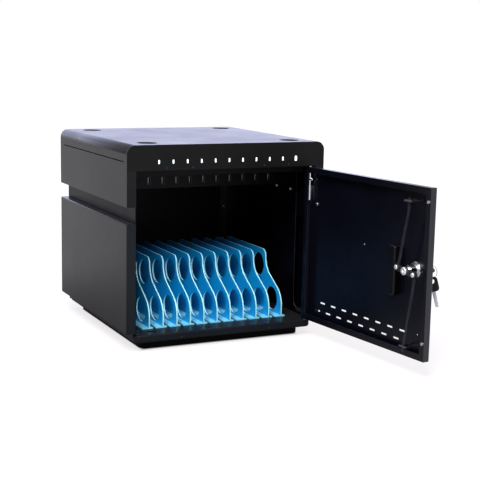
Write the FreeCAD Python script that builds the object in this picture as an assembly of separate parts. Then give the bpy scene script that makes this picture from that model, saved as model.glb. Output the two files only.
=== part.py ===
import FreeCAD, Part
import math
import os

# Charging cabinet: a sheet-steel table-top cabinet for tablets, with upright dividers, a row of charging
# sockets, indicator windows in the fascia and a lockable inset door on two hinge pins.
# Frame: X to the right, Y to the back, Z up, with the origin on the floor under the middle of the body.
# All sizes are in millimetres.

V = FreeCAD.Vector

# Body
body_width = 400.0
body_depth = 397.0
body_height = 343.5
base_rise = 36.5
sheet = 1.2
top_edge_radius = 16.0
bend_radius = 2.0
rim_width = 17.5

# Grip groove along each side
hood_height = 111.0
groove_height = 29.5
groove_joint = 1.5
channel_lap = 12.0

# Slit in each side of the hood
slit_drop = 30.5
slit_height = 1.8
slit_front_margin = 16.0
slit_rear_margin = 24.5

# Stacking dimples in the top, over the feet
foot_inset_x = 54.0
foot_inset_y = 42.0
dimple_radius = 20.0
dimple_depth = 3.6

# Fascia and its indicator windows
fascia_height = 46.5
fascia_thickness = 2.0
fascia_flange = 12.0
fascia_screw_rise = 4.2
bay_pitch = 27.8
bay_count = 10
window_width = 3.0
window_height = 7.2
power_window_width = 4.8
power_window_height = 9.6
window_rise = 15.7
window_gap = 0.05
indicator_standoff = 7.0
indicator_board_height = 16.0
indicator_board_margin = 12.0
board_thickness = 1.6
lamp_width = 2.8
lamp_height = 4.0
lamp_gap = 1.0

# Floor tray, plinth and feet
floor_drop = 4.0
tray_height = 14.5
tray_corner_radius = 12.0
tray_top_radius = 2.5
tray_bottom_radius = 4.0
tray_flange = 40.0
skin_leg = 10.0
plinth_inset_x = 35.0
plinth_inset_front = 18.3
plinth_inset_rear = 25.3
plinth_corner_radius = 14.0
plinth_wall = 3.0
plinth_flange = 32.0
foot_height = 2.5
foot_radius = 12.0

# Liners of the inner side walls
liner_setback = 72.0
liner_sweep_radius = 34.0
liner_flange = 14.0

# Shelf of the electronics bay
shelf_drop = 43.0
port_setback = 85.0
shelf_side_flange = 20.0
port_rise = 15.0
port_width = 6.0
port_height = 13.8
port_wall = 0.6
port_length = 15.0
port_gap = 0.1
port_proud = 0.6
port_floor = 2.0
tongue_thickness = 1.9
tongue_length = 9.0
tongue_margin = 1.6

# Door stop behind the closed door
stop_setback = 16.8
stop_drop = 13.0
stop_leg = 12.0
stop_side = 7.0
stop_rod_gap = 0.9

# Dividers
divider_thickness = 2.5
divider_height = 121.5
divider_front = 42.5
divider_rear = 300.0
divider_setback = 71.5
divider_straight = 20.5
divider_corner_radius = 14.0
ogee_radius = 40.0
ogee_turn = math.radians(59.0)
foot_plate_left = 12.8
foot_plate_right = 6.4
foot_plate_thickness = 2.0
hole_half_width = 24.2
hole_half_height = 23.0
low_hole_setback = 41.5
low_hole_rise = 29.0
high_hole_setback = 101.5
high_hole_rise = 88.0

# Screws
screw_radius = 1.5
screw_head_radius = 3.4
screw_head_height = 2.0
screw_length = 4.0
small_head_radius = 2.0
small_head_height = 1.0
bore_gap = 0.1
sill_screw_x = 91.0
sill_screw_rise = 5.0
shelf_screw_front = 93.0
shelf_screw_middle = 151.0
shelf_screw_rear = 87.0
shelf_screw_drop = 12.0
back_screw_count = 4
back_screw_low_margin = 27.5
back_screw_high_margin = 15.5
fascia_screw_inner = 73.0
fascia_screw_outer = 124.0
divider_screw_margin = 30.0

# Door pan
door_side_gap = 2.2
door_top_gap = 1.7
door_bottom_gap = 2.0
door_depth = 13.5
door_lip = 10.0
hinge_inset = 6.0
open_angle = 96.0

# Vent slots of the door and the back
vent_length = 15.0
vent_height = 3.0
vent_count = 8
vent_pitch = 33.6
vent_row_rise = 17.0
vent_first_setback = 37.5
vent_low_rise = 21.0
vent_row_shift = 0.46

# Small holes in the door skin, from the hinge edge and from the lower edge
small_hole_radius = 1.25
middle_hole_setback = 174.5
middle_hole_rise = 173.0
corner_hole_setback = 328.5
corner_hole_rise = 40.0

# Hinge
hinge_pin_radius = 2.5
hinge_fit = 0.08
barrel_radius = 4.0
barrel_drop = 64.0
barrel_length = 28.0
barrel_floor = 2.0
bracket_reach = 20.0
bracket_drop = 10.5
bracket_sheet = 1.6
bracket_foot_reach = 30.0
bracket_foot_height = 9.0
bracket_screw_reach = 22.0
bolt_reach = 9.2
bolt_seat = 17.5
bolt_chamfer = 0.8
knob_radius = 2.2
knob_length = 9.0
knob_rise = 39.7
knob_round = 1.0
spring_wire = 0.45
spring_gap = 0.1
spring_turns = 6
bush_radius = 5.0
bush_sleeve = 4.0
lower_pin_reach = 9.0

# Lock, cam and rods
lock_setback = 40.0
lock_rise = 152.3
lock_radius = 9.5
plug_radius = 6.5
plug_fit = 0.1
rosette_radius = 13.0
rosette_height = 4.0
lock_nut_radius = 14.0
lock_nut_height = 5.0
lock_nut_round = 1.2
notch_radius = 2.2
notch_count = 6
notch_offset = 0.6
cam_depth = 26.5
cam_clearance = 4.5
plug_recess = 0.5
square_share = 0.62
cam_thickness = 3.0
cam_width = 15.0
cam_end_radius = 5.5
pin_circle = 22.0
pin_tilt = math.radians(8.0)
pin_radius = 2.5
pin_fit = 0.1
pin_head_radius = 4.0
pin_head_height = 2.0
pin_keeper = 1.2
cam_bolt_radius = 6.8
cam_bolt_height = 3.4
cam_bolt_round = 1.5
cam_bolt_socket = 2.4
cam_bolt_socket_depth = 1.5
rod_width = 5.0
rod_thickness = 2.0
rod_gap = 0.5
rod_eye_radius = 5.5
upper_rod_reach = 124.0
upper_rod_end = 19.0
lower_rod_reach = 141.0
lower_bend_drop = 33.0
lower_bend_shift = 3.3
guide_clear_width = 14.0
guide_clearance = 0.9
guide_wire = 2.4
upper_guide_rise = 119.5
upper_guide_shift = -0.4
lower_guide_drop = 131.0
lower_guide_shift = -3.1
rod_slot_width = 18.0
rod_slot_depth = 8.0
rod_slot_radius = 2.5

# Finger cup of the door
cup_width = 18.0
cup_height = 88.0
cup_depth = 17.0
cup_wall = 1.5
cup_bezel = 4.0
cup_bezel_height = 1.0
cup_setback = 81.0
cup_rise = 99.5
cup_radius = 5.0

# Keys
key_blade_width = 6.5
key_blade_thickness = 2.0
key_blade_length = 24.0
key_blade_tuck = 6.0
key_blade_gap = 0.1
key_neck = 4.0
key_turn = 33.0
key_cut_count = 5
key_cut_pitch = 4.0
bow_length = 26.0
bow_width = 21.0
bow_thickness = 2.8
bow_radius = 6.0
bow_round = 0.8
bow_hole_radius = 4.7
bow_web = 2.6
ring_radius = 11.5
ring_wire = 0.7
ring_gap = 0.3
spare_key_drop = 3.3
spare_key_turn = 45.0
spare_key_tilt = 15.0

# Rubber bumpers of the door
bumper_radius = 2.6
bumper_gap = 0.2
bumper_low_rise = 31.5
bumper_high_drop = 24.0

# Electronics
supply_width = 170.0
supply_depth = 95.0
supply_height = 36.0
supply_side_gap = 26.3
supply_rear_gap = 60.0
supply_corner_radius = 1.5
terminal_width = 11.0
terminal_inset = 4.0
terminal_step = 14.0
terminal_height = 12.0
terminal_margin = 10.0
terminal_count = 7
terminal_slot_share = 0.76
terminal_wall = 3.0
terminal_floor = 5.0
grille_rows = 5
grille_columns = 7
grille_pitch_x = 20.0
grille_pitch_z = 5.0
grille_first_x = 38.0
grille_first_z = 8.0
grille_slot_length = 14.0
grille_slot_height = 2.0
grille_slot_depth = 3.0
charger_board_depth = 80.0
charger_board_margin = 4.0
charger_board_gap = 0.3
charger_board_rise = 5.0
standoff_inset = 6.0
standoff_radius = 2.6
chip_size = 10.0
chip_height = 6.0
chip_setback = 31.0
capacitor_radius = 4.0
capacitor_height = 11.0
capacitor_setback = 48.0

# Mains inlet with its socket, pins and rocker switch
inlet_inset = 90.0
inlet_rise = 44.0
inlet_width = 48.0
inlet_height = 28.0
inlet_flange = 2.5
inlet_corner_radius = 3.0
inlet_body_depth = 22.0
inlet_margin = 2.0
socket_width = 24.0
socket_height = 16.5
socket_depth = 15.0
socket_chamfer = 4.0
socket_offset = -8.0
contact_width = 2.0
contact_height = 4.0
contact_spread = 7.0
contact_stagger = 2.0
contact_recess = 3.0
switch_offset = 14.0
switch_width = 11.0
switch_height = 19.0
switch_depth = 9.0
rocker_gap = 0.4
rocker_tilt = 9.0
rocker_margin = 2.2
rocker_half_base = 4.0
rocker_dip = 0.9
rocker_pin_radius = 1.2
rocker_pin_gap = 0.05
earth_offset = 45.0
earth_rise = 16.0
earth_length = 14.0
earth_radius = 2.5
earth_nut_radius = 5.0
earth_nut_height = 4.0
earth_washer_radius = 6.0
earth_washer_height = 1.0
wire_radius = 1.2
wire_bend = 8.0
wire_spacing = 6.0
wire_rise = 20.0
wire_run = 26.0
wire_reach = 22.0
lamp_wire_run = 110.0

# Places worked out from the sizes above
half_width = body_width / 2
front = -body_depth / 2
rear = body_depth / 2
top = base_rise + body_height
groove_high = top - hood_height
groove_low = groove_high - groove_height
fascia_low = top - fascia_height
floor_top = base_rise - floor_drop
tray_low = floor_top - tray_height
opening_half = half_width - rim_width
head_low = fascia_low + sheet
shelf_low = fascia_low - shelf_drop
shelf_top = shelf_low + sheet
board_low = shelf_top + charger_board_rise
board_top = board_low + board_thickness
board_front = front + port_setback + sheet + charger_board_gap
board_rear = board_front + charger_board_depth
port_z = board_top + port_height / 2
port_face = front + port_setback
liner_inner = opening_half - sheet
flange_inner = liner_inner - sheet
foot_x = half_width - foot_inset_x
foot_y = body_depth / 2 - foot_inset_y
window_z = fascia_low + window_rise

door_right = opening_half - door_side_gap
door_left = -door_right
door_low = floor_top + door_bottom_gap
door_high = fascia_low - door_top_gap
pivot = V(door_right - hinge_inset, front + hinge_inset, 0)
lip_face = front + door_depth
lock_x = door_left + lock_setback
lock_z = door_low + lock_rise
cam_front = front + cam_depth
rod_back = cam_front - rod_gap
rod_front = rod_back - rod_thickness
stop_face = front + stop_setback
pin_dx = pin_circle * math.cos(pin_tilt)
pin_dz = pin_circle * math.sin(pin_tilt)
barrel_low = door_high - barrel_drop
lock_length = cam_depth - cam_clearance
bow_hole_margin = bow_web + bow_hole_radius
key_hole_y = front - rosette_height - key_neck - bow_length + bow_hole_margin
ring_y = key_hole_y - bow_hole_radius - bow_web / 2
web_top = bow_thickness / 2 / math.cos(math.radians(key_turn))
ring_drop = math.sqrt((ring_radius - ring_wire - ring_gap) ** 2 - (bow_web / 2) ** 2) - web_top
ring_centre = V(lock_x, ring_y, lock_z - ring_drop)
spare_key_hole = ring_centre - V(0, 0, ring_radius + spare_key_drop)
inlet_x = -half_width + inlet_inset
inlet_z = shelf_top + inlet_rise
inlet_face = rear + inlet_flange
supply_x = liner_inner - supply_side_gap - supply_width / 2
supply_left = supply_x - supply_width / 2
supply_rear = rear - supply_rear_gap
supply_front = supply_rear - supply_depth
terminal_pitch = (supply_depth - 2 * terminal_margin) / terminal_count
terminal_z = shelf_top + terminal_step + terminal_floor + wire_radius


# General shapes
def box(x0, x1, y0, y1, z0, z1):
    return Part.makeBox(x1 - x0, y1 - y0, z1 - z0, V(x0, y0, z0))


def bar(start, end, radius):
    return Part.makeCylinder(radius, (end - start).Length, start, end - start)


def edges_along(shape, axis):
    found = []
    for edge in shape.Edges:
        if isinstance(edge.Curve, Part.Line) and abs(edge.tangentAt(edge.FirstParameter).dot(axis)) > 0.999:
            found.append(edge)
    return found


def rounded_box(x0, x1, y0, y1, z0, z1, radius, axis):
    solid = box(x0, x1, y0, y1, z0, z1)
    return solid.makeFillet(radius, edges_along(solid, axis))


def slot_along_x(x, z, length, height, y0, y1):
    half = (length - height) / 2
    shape = box(x - half, x + half, y0, y1, z - height / 2, z + height / 2)
    for side in (-half, half):
        shape = shape.fuse(bar(V(x + side, y0, z), V(x + side, y1, z), height / 2))
    return shape


def mirrored(shape):
    return shape.mirror(V(0, 0, 0), V(1, 0, 0))


def joined(shapes):
    return shapes[0].multiFuse(shapes[1:]).removeSplitter()


def swung(shape):
    turned = shape.copy()
    turned.rotate(pivot, V(0, 0, 1), open_angle)
    return turned


def arch_face(half, z_low, z_high, radius, y):
    left = V(-half, y, z_low)
    right = V(half, y, z_low)
    slope = radius * (1 - math.sqrt(0.5))
    edges = [
        Part.LineSegment(left, V(-half, y, z_high - radius)).toShape(),
        Part.Arc(V(-half, y, z_high - radius), V(-half + slope, y, z_high - slope),
                 V(-half + radius, y, z_high)).toShape(),
        Part.LineSegment(V(-half + radius, y, z_high), V(half - radius, y, z_high)).toShape(),
        Part.Arc(V(half - radius, y, z_high), V(half - slope, y, z_high - slope),
                 V(half, y, z_high - radius)).toShape(),
        Part.LineSegment(V(half, y, z_high - radius), right).toShape(),
        Part.LineSegment(right, left).toShape(),
    ]
    return Part.Face(Part.Wire(edges))


# Screws: where each one sits and which way its head faces
def sill_screw_places():
    z = tray_low + sill_screw_rise
    return [(V(side * sill_screw_x, front, z), V(0, -1, 0)) for side in (-1, 1)]


def shelf_screw_places():
    places = []
    for side in (-1, 1):
        for y in (front + shelf_screw_front, front + shelf_screw_middle, rear - shelf_screw_rear):
            point = V(side * flange_inner, y, shelf_low - shelf_screw_drop)
            places.append((point, V(-side, 0, 0)))
    return places


def back_screw_places():
    places = []
    x = liner_inner - liner_flange / 2
    low = floor_top + back_screw_low_margin
    pitch = (shelf_low - back_screw_high_margin - low) / (back_screw_count - 1)
    for side in (-1, 1):
        for index in range(back_screw_count):
            places.append((V(side * x, rear, low + index * pitch), V(0, 1, 0)))
    return places


def fascia_screw_places():
    places = []
    for x in (fascia_screw_inner, fascia_screw_outer):
        for side in (-1, 1):
            places.append((V(side * x, front, fascia_low + fascia_screw_rise), V(0, -1, 0)))
    return places


def divider_screw_places():
    places = []
    for index in range(bay_count + 1):
        x = divider_x(index) - foot_plate_left / 2
        for y in (divider_front + divider_screw_margin, divider_rear - divider_screw_margin):
            places.append((V(x, front + y, floor_top - sheet), V(0, 0, -1)))
    return places


def screw_bores(places):
    return Part.Compound([bar(point - facing * screw_length, point + facing, screw_radius + bore_gap)
                          for point, facing in places])


def screw(point, facing, head_radius, head_height):
    head = Part.makeCylinder(head_radius, head_height, point, facing)
    crown = [edge for edge in head.Edges if (edge.BoundBox.Center - point).dot(facing) > 0.9 * head_height]
    head = head.makeFillet(head_height * 0.45, crown)
    across = V(0, 0, 1) if abs(facing.z) < 0.5 else V(1, 0, 0)
    other = facing.cross(across)
    tip = point + facing * head_height
    reach = head_radius * 0.6
    width = head_radius * 0.12
    for along in (across, other):
        end = tip + along * reach
        blade = bar(tip - along * reach, end, width)
        head = head.cut(blade)
    return head.fuse(bar(point - facing * screw_length, point, screw_radius))


# Casing
def hood():
    y = front + fascia_thickness
    shell = arch_face(half_width, groove_high, top, top_edge_radius, y).extrude(V(0, rear - y, 0))
    hollow = arch_face(half_width - sheet, groove_high, top - sheet, top_edge_radius - sheet, y)
    shell = shell.cut(hollow.extrude(V(0, rear - y, 0)))
    back_ring = arch_face(half_width, groove_high, top, top_edge_radius, rear - sheet)
    back_window = arch_face(opening_half, groove_high, top - rim_width, bend_radius, rear - sheet)
    pieces = [shell, back_ring.cut(back_window).extrude(V(0, sheet, 0))]
    rim_top = fascia_low
    for side in (-1, 1):
        wall = sorted((side * half_width, side * (half_width - sheet)))
        rim = sorted((side * half_width, side * opening_half))
        lip = sorted((side * half_width, side * (opening_half + sheet)))
        pieces.append(box(*wall, front, y, groove_high, rim_top))
        pieces.append(box(*rim, front, front + sheet, groove_high, rim_top))
        pieces.append(box(*lip, front, rear, groove_high, groove_high + sheet))
    shape = joined(pieces)
    slit_z = top - slit_drop
    shape = shape.cut(box(-half_width - 1, half_width + 1,
                          front + slit_front_margin, rear - slit_rear_margin,
                          slit_z - slit_height / 2, slit_z + slit_height / 2))
    dishes = []
    for x in (-foot_x, foot_x):
        for foot in (-foot_y, foot_y):
            low = V(x, foot, top - dimple_depth - sheet)
            shape = shape.cut(bar(low, V(x, foot, top + 1), dimple_radius))
            dish = bar(low, V(x, foot, top), dimple_radius)
            dishes.append(dish.cut(bar(low + V(0, 0, sheet), V(x, foot, top + 1), dimple_radius - sheet)))
    return joined([shape] + dishes)


def window_slots(gap, depth):
    shapes = []
    for index in range(bay_count + 1):
        last = index == bay_count
        width = (power_window_width if last else window_width) / 2 - gap
        height = (power_window_height if last else window_height) / 2 - gap
        x = divider_x(index)
        shapes.append(rounded_box(x - width, x + width, front, front + depth,
                                  window_z - height, window_z + height, width * 0.6, V(0, 1, 0)))
    return shapes


def fascia():
    outline = arch_face(half_width, fascia_low, top, top_edge_radius, front)
    plate = outline.extrude(V(0, fascia_thickness, 0))
    flange = box(-opening_half, opening_half, front, front + fascia_thickness + fascia_flange,
                 fascia_low, fascia_low + sheet)
    shape = joined([plate, flange])
    shape = shape.cut(Part.Compound(window_slots(0, fascia_thickness)))
    shape = shape.cut(bar(V(pivot.x, pivot.y, fascia_low - 1), V(pivot.x, pivot.y, head_low + 1),
                          hinge_pin_radius + hinge_fit))
    return shape.cut(screw_bores(fascia_screw_places()))


def indicator_board():
    y = front + fascia_thickness + indicator_standoff
    reach = bay_count * bay_pitch / 2 + indicator_board_margin
    low = window_z - indicator_board_height / 2
    lamp_face = front + fascia_thickness + 2 * lamp_gap
    solids = [box(-reach, reach, y, y + board_thickness, low, low + indicator_board_height)]
    for index in range(bay_count + 1):
        x = divider_x(index)
        solids.append(box(x - lamp_width / 2, x + lamp_width / 2, lamp_face, y,
                          window_z - lamp_height / 2, window_z + lamp_height / 2))
    for x in (-reach + standoff_inset, bay_pitch / 2, reach - standoff_inset):
        solids.append(bar(V(x, y - indicator_standoff, window_z), V(x, y, window_z), standoff_radius))
    return Part.Compound(solids)


def side_skin():
    # The left skin: a pan with front and rear rims, a grip lip on top and a foot leg that laps the tray
    left = -half_width
    shell = box(left, -opening_half, front, rear, base_rise, groove_low)
    uprights = [edge for edge in edges_along(shell, V(0, 0, 1)) if edge.BoundBox.XMin < left + 0.1]
    lengths = [edge for edge in edges_along(shell, V(0, 1, 0)) if edge.BoundBox.XMin < left + 0.1]
    shell = shell.makeFillet(bend_radius, uprights + lengths)
    shell = shell.cut(box(left + sheet, 0, front + sheet, rear - sheet,
                          base_rise + sheet, groove_low - sheet))
    shell = shell.cut(box(-opening_half - sheet - groove_joint, 0, front - 1, rear + 1,
                          groove_low - sheet, groove_low))
    leg = box(-opening_half - sheet, -opening_half, front + tray_corner_radius, rear - tray_corner_radius,
              base_rise - skin_leg, base_rise + sheet)
    return joined([shell, leg])


def grip_channel():
    wall_out = -opening_half - sheet
    wall = box(wall_out, -opening_half, front + sheet, rear - sheet,
               groove_low - channel_lap, groove_high + channel_lap)
    upper = box(-half_width + sheet, wall_out, front + fascia_thickness, rear - sheet,
                groove_high + sheet, groove_high + 2 * sheet)
    lower = box(-half_width + sheet, wall_out, front + sheet, rear - sheet,
                groove_low - 2 * sheet, groove_low - sheet)
    end = box(wall_out, -opening_half, front, rear, groove_low, groove_high)
    return joined([wall, upper, lower, end]).cut(screw_bores(shelf_screw_places()))


def liner():
    out = -opening_half
    y0 = front + liner_setback
    sweep = y0 - liner_sweep_radius
    z1 = floor_top + liner_sweep_radius
    dip = liner_sweep_radius * math.sqrt(0.5)
    outline = Part.Wire([
        Part.LineSegment(V(out, rear - sheet, floor_top), V(out, rear - sheet, head_low)).toShape(),
        Part.LineSegment(V(out, rear - sheet, head_low), V(out, y0, head_low)).toShape(),
        Part.LineSegment(V(out, y0, head_low), V(out, y0, z1)).toShape(),
        Part.Arc(V(out, y0, z1), V(out, sweep + dip, z1 - dip), V(out, sweep, floor_top)).toShape(),
        Part.LineSegment(V(out, sweep, floor_top), V(out, rear - sheet, floor_top)).toShape(),
    ])
    wall = Part.Face(outline).extrude(V(sheet, 0, 0))
    flange = box(out, out + sheet + liner_flange, rear - 2 * sheet, rear - sheet, floor_top, shelf_low)
    shape = joined([wall, flange])
    shape = shape.cut(screw_bores(shelf_screw_places()))
    return shape.cut(screw_bores(back_screw_places()))


def inlet_cutout(y0, y1, gap):
    half_x = inlet_width / 2 - inlet_margin + gap
    half_z = inlet_height / 2 - inlet_margin + gap
    return box(inlet_x - half_x, inlet_x + half_x, y0, y1, inlet_z - half_z, inlet_z + half_z)


def back_panel():
    outline = arch_face(opening_half, tray_low + 2, top - rim_width, bend_radius, rear - sheet)
    panel = outline.extrude(V(0, sheet, 0))
    cuts = []
    for row, z in enumerate((door_low + vent_low_rise, door_low + vent_low_rise + vent_row_rise)):
        for index in range(vent_count):
            x = (index - (vent_count - 1) / 2 + row * 0.5 - 0.25) * vent_pitch
            cuts.append(slot_along_x(x, z, vent_length, vent_height, rear - 2 * sheet, rear + 1))
    for index in range(vent_count // 2):
        cuts.append(slot_along_x(supply_x + (index - 1.5) * vent_pitch, inlet_z, vent_length, vent_height,
                                 rear - 2 * sheet, rear + 1))
    cuts.append(inlet_cutout(rear - 2 * sheet, rear + 1, bore_gap))
    panel = panel.cut(Part.Compound(cuts))
    return panel.cut(screw_bores(back_screw_places()))


def rod_slot():
    x = lock_x
    y = (rod_front + rod_back) / 2
    return rounded_box(x - rod_slot_width / 2, x + rod_slot_width / 2,
                       y - rod_slot_depth / 2, y + rod_slot_depth / 2,
                       floor_top - 2 * sheet, floor_top + 1, rod_slot_radius, V(0, 0, 1))


def floor_tray():
    outer = rounded_box(-opening_half, opening_half, front, rear - sheet, tray_low, floor_top,
                        tray_corner_radius, V(0, 0, 1))
    rim = [edge for edge in outer.Edges if edge.BoundBox.ZMin > floor_top - 0.01]
    outer = outer.makeFillet(tray_top_radius, rim)
    base = [edge for edge in outer.Edges if edge.BoundBox.ZMax < tray_low + 0.01]
    outer = outer.makeFillet(tray_bottom_radius, base)
    inner = rounded_box(-opening_half + sheet, opening_half - sheet, front + sheet, rear - 2 * sheet,
                        tray_low + sheet, floor_top - sheet, tray_corner_radius - sheet, V(0, 0, 1))
    rim = [edge for edge in inner.Edges if edge.BoundBox.ZMin > floor_top - sheet - 0.01]
    inner = inner.makeFillet(tray_top_radius - sheet, rim)
    base = [edge for edge in inner.Edges if edge.BoundBox.ZMax < tray_low + sheet + 0.01]
    inner = inner.makeFillet(tray_bottom_radius - sheet, base)
    mouth = rounded_box(-opening_half + tray_flange, opening_half - tray_flange,
                        front + tray_flange, rear - tray_flange,
                        tray_low - 1, tray_low + 2 * sheet, tray_corner_radius, V(0, 0, 1))
    shape = outer.cut(inner).cut(mouth).cut(rod_slot())
    shape = shape.cut(bar(V(pivot.x, pivot.y, tray_low + 2 * sheet), V(pivot.x, pivot.y, floor_top + 1),
                          bush_sleeve))
    shape = shape.cut(screw_bores(sill_screw_places()))
    return shape.cut(screw_bores(divider_screw_places()))


def plinth():
    x = half_width - plinth_inset_x
    y0 = front + plinth_inset_front
    y1 = rear - plinth_inset_rear
    outer = rounded_box(-x, x, y0, y1, foot_height, tray_low, plinth_corner_radius, V(0, 0, 1))
    wall = plinth_wall
    inner = rounded_box(-x + wall, x - wall, y0 + wall, y1 - wall, foot_height + wall, tray_low + 1,
                        plinth_corner_radius - wall, V(0, 0, 1))
    rim = plinth_flange
    mouth = rounded_box(-x + rim, x - rim, y0 + rim, y1 - rim, foot_height - 1, foot_height + wall + 1,
                        plinth_corner_radius, V(0, 0, 1))
    return outer.cut(inner).cut(mouth)


def rubber_feet():
    feet = []
    for x in (-foot_x, foot_x):
        for y in (-foot_y, foot_y):
            foot = bar(V(x, y, 0), V(x, y, foot_height), foot_radius)
            base = [edge for edge in foot.Edges if edge.BoundBox.ZMax < 0.01]
            feet.append(foot.makeChamfer(foot_height * 0.3, base))
    return Part.Compound(feet)


# Shelf and door stop
def electronics_shelf():
    head = box(-liner_inner, liner_inner, front + fascia_thickness, port_face + sheet,
               head_low, head_low + sheet)
    panel = box(-liner_inner, liner_inner, port_face, port_face + sheet, shelf_low, head_low + sheet)
    shelf = box(-liner_inner, liner_inner, port_face, rear - 2 * sheet, shelf_low, shelf_top)
    pieces = [head, panel, shelf]
    for side in (-1, 1):
        flange = sorted((side * liner_inner, side * flange_inner))
        pieces.append(box(*flange, port_face, rear - 30, shelf_low - shelf_side_flange, shelf_top))
    shape = joined(pieces)
    shape = shape.cut(Part.Compound(port_blocks(port_face - 1, port_face + 2 * sheet, 0)))
    shape = shape.cut(bar(V(pivot.x, pivot.y, head_low - 1), V(pivot.x, pivot.y, head_low + sheet + 1),
                          hinge_pin_radius + hinge_fit))
    return shape.cut(screw_bores(shelf_screw_places()))


def door_stop():
    rail = box(-opening_half, opening_half, stop_face, stop_face + sheet, head_low - stop_drop, head_low)
    ledge = box(-opening_half, opening_half, stop_face, stop_face + stop_leg, head_low - sheet, head_low)
    keeper = box(-opening_half, opening_half, stop_face, rod_front - stop_rod_gap,
                 head_low - stop_drop, head_low - stop_drop + sheet)
    side = box(-opening_half, -opening_half + stop_side, stop_face, stop_face + sheet,
               floor_top, head_low)
    return joined([rail, ledge, keeper, side])


# Charging sockets and electronics
def port_x(index):
    return (index - (bay_count - 1) / 2) * bay_pitch


def port_blocks(y0, y1, shrink):
    half_x = port_width / 2 - shrink
    half_z = port_height / 2 - shrink
    return [box(port_x(index) - half_x, port_x(index) + half_x, y0, y1, port_z - half_z, port_z + half_z)
            for index in range(bay_count)]


def usb_shells():
    y0 = port_face - port_proud
    shells = port_blocks(y0, y0 + port_length, port_gap)
    hollows = port_blocks(y0 - 1, y0 + port_length - port_floor, port_gap + port_wall)
    return Part.Compound([shell.cut(hollow) for shell, hollow in zip(shells, hollows)])


def usb_tongues():
    y1 = port_face - port_proud + port_length - port_floor
    half_x = tongue_thickness / 2
    half_z = port_height / 2 - tongue_margin
    return Part.Compound([box(port_x(index) - half_x, port_x(index) + half_x, y1 - tongue_length, y1,
                              port_z - half_z, port_z + half_z) for index in range(bay_count)])


def charger_board():
    reach = bay_count * bay_pitch / 2 + charger_board_margin
    solids = [box(-reach, reach, board_front, board_rear, board_low, board_top)]
    for x in (-reach + standoff_inset, reach - standoff_inset):
        for y in (board_front + standoff_inset, board_rear - standoff_inset):
            solids.append(bar(V(x, y, shelf_top), V(x, y, board_low), standoff_radius))
    half = chip_size / 2
    for index in range(bay_count):
        x = port_x(index)
        y = board_front + chip_setback
        solids.append(box(x - half, x + half, y - half, y + half, board_top, board_top + chip_height))
        foot = V(x, board_front + capacitor_setback, board_top)
        solids.append(bar(foot, foot + V(0, 0, capacitor_height), capacitor_radius))
    return Part.Compound(solids)


def power_supply():
    x1 = supply_left + supply_width
    z1 = shelf_top + supply_height
    case = rounded_box(supply_left, x1, supply_front, supply_rear, shelf_top, z1,
                       supply_corner_radius, V(0, 0, 1))
    ledge_end = supply_left + terminal_inset + terminal_width + 1
    margin = terminal_margin - 2
    case = case.cut(box(supply_left - 1, ledge_end, supply_front + margin, supply_rear - margin,
                        shelf_top + terminal_step, z1 + 1))
    grille = []
    for row in range(grille_rows):
        for column in range(grille_columns):
            x = supply_left + grille_first_x + column * grille_pitch_x
            z = shelf_top + grille_first_z + row * grille_pitch_z
            grille.append(slot_along_x(x, z, grille_slot_length, grille_slot_height,
                                       supply_front - 1, supply_front + grille_slot_depth))
    return Part.Compound([case.cut(Part.Compound(grille)), terminal_block()])


def terminal_block():
    x0 = supply_left + terminal_inset
    z0 = shelf_top + terminal_step
    block = box(x0, x0 + terminal_width, supply_front + terminal_margin, supply_rear - terminal_margin,
                z0, z0 + terminal_height)
    half = terminal_pitch * terminal_slot_share / 2
    slots = []
    for index in range(terminal_count):
        y = terminal_y(index)
        slots.append(box(x0 - 1, x0 + terminal_width - terminal_wall, y - half, y + half,
                         z0 + terminal_floor, z0 + terminal_height + 1))
    return block.cut(Part.Compound(slots))


def terminal_y(index):
    return supply_front + terminal_margin + (index + 0.5) * terminal_pitch


def inlet_pocket(offset, width, height, depth):
    x = inlet_x + offset
    return box(x - width / 2, x + width / 2, inlet_face - depth, inlet_face + 1,
               inlet_z - height / 2, inlet_z + height / 2)


def mains_inlet():
    half_x = inlet_width / 2
    half_z = inlet_height / 2
    flange = rounded_box(inlet_x - half_x, inlet_x + half_x, rear, inlet_face,
                         inlet_z - half_z, inlet_z + half_z, inlet_corner_radius, V(0, 1, 0))
    body = inlet_cutout(rear - inlet_body_depth, rear + inlet_flange / 2, 0)
    socket = inlet_pocket(socket_offset, socket_width, socket_height, socket_depth)
    upper = [edge for edge in edges_along(socket, V(0, 1, 0)) if edge.BoundBox.ZMin > inlet_z]
    socket = socket.makeChamfer(socket_chamfer, upper)
    well = inlet_pocket(switch_offset, switch_width, switch_height, switch_depth)
    return joined([flange, body]).cut(socket).cut(well)


def inlet_pins():
    back = inlet_face - socket_depth
    solids = []
    for side in (-1, 0, 1):
        x = inlet_x + socket_offset + side * contact_spread
        z = inlet_z + contact_stagger * (1 - 2 * abs(side))
        solids.append(box(x - contact_width / 2, x + contact_width / 2, back, inlet_face - contact_recess,
                          z - contact_height / 2, z + contact_height / 2))
    return Part.Compound(solids)


def switch_rocker():
    # A rocker with two flat faces in a shallow V, carried on a cross pin in the well of the inlet plate
    axis = V(inlet_x + switch_offset, inlet_face - switch_depth * 0.45, inlet_z)
    half_x = switch_width / 2 - rocker_gap
    reach = switch_height / 2 - rocker_margin
    x = axis.x - half_x
    base = axis.y - rocker_margin
    profile = Part.makePolygon([
        V(x, base, axis.z - rocker_half_base),
        V(x, base, axis.z + rocker_half_base),
        V(x, inlet_face, axis.z + reach),
        V(x, inlet_face - rocker_dip, axis.z),
        V(x, inlet_face, axis.z - reach),
        V(x, base, axis.z - rocker_half_base)])
    rocker = Part.Face(profile).extrude(V(2 * half_x, 0, 0))
    half_pin = V(switch_width / 2 - rocker_pin_gap, 0, 0)
    shape = joined([rocker, bar(axis - half_pin, axis + half_pin, rocker_pin_radius)])
    shape.rotate(axis, V(1, 0, 0), rocker_tilt)
    return shape


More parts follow.
